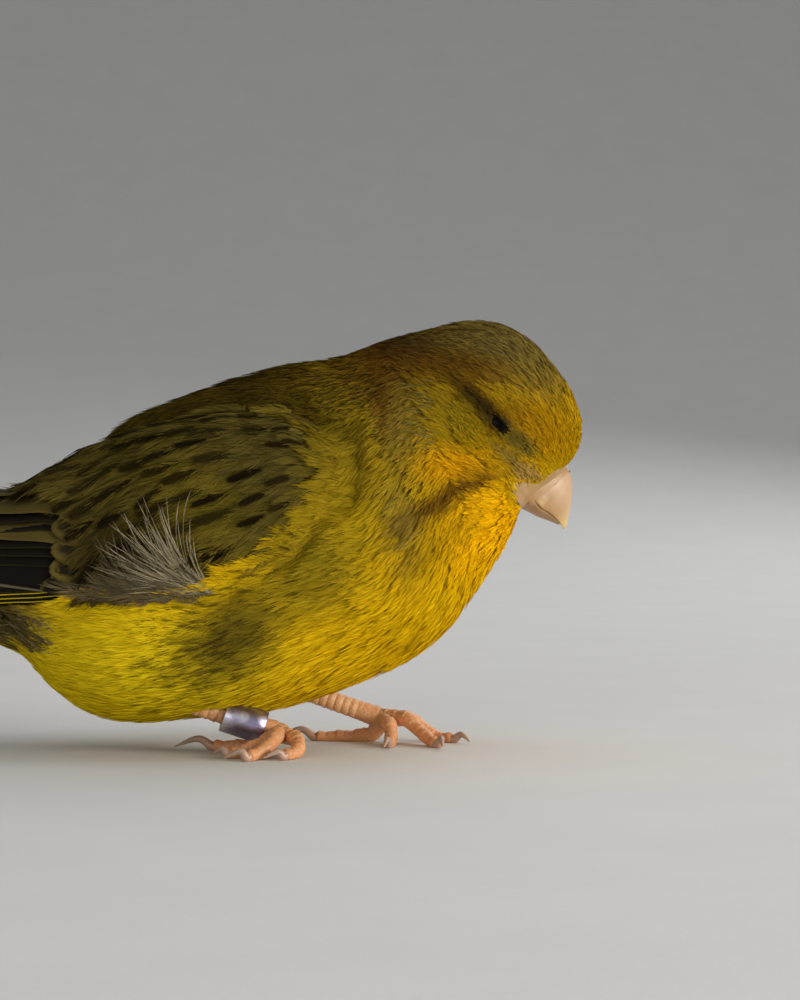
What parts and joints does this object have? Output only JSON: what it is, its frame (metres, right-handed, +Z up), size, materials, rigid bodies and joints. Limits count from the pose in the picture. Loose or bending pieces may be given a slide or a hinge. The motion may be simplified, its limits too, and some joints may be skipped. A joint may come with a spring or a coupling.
{
  "type": "canary",
  "caption": "Still, life-size model of an olive and yellow canary crouching on both feet with its head bowed and a ring on its right leg.",
  "frame": {"origin": "on the floor under the middle of the whole bird", "axes": "+X from the tail to the head, +Y to the bird's left, +Z up"},
  "size_m": [0.1196, 0.0332, 0.0471],
  "materials": {
    "plumage": "soft olive and golden yellow body feathers with dark streaks",
    "flight_feathers": "dark brown wing and tail feathers with yellow-green edges",
    "bill": "smooth pale pink horn",
    "eye": "wet, very dark brown",
    "leg_skin": "pink-orange scaled skin",
    "claw": "brown horn",
    "leg_ring": "plain anodised metal with a violet tint"
  },
  "bodies": {
    "root": {"head": "plumage", "neck": "plumage", "torso": "plumage", "tail": "flight_feathers", "wing_right": "flight_feathers", "wing_left": "flight_feathers", "bill_upper": "bill", "bill_lower": "bill", "eye_right": "eye", "eye_left": "eye", "leg_right": "leg_skin", "leg_left": "leg_skin", "foot_right": "leg_skin", "foot_left": "leg_skin", "claw_right_inner": "claw", "claw_right_middle": "claw", "claw_right_outer": "claw", "claw_right_back": "claw", "claw_left_inner": "claw", "claw_left_middle": "claw", "claw_left_outer": "claw", "claw_left_back": "claw", "leg_ring": "leg_ring"}
  },
  "joints": []
}
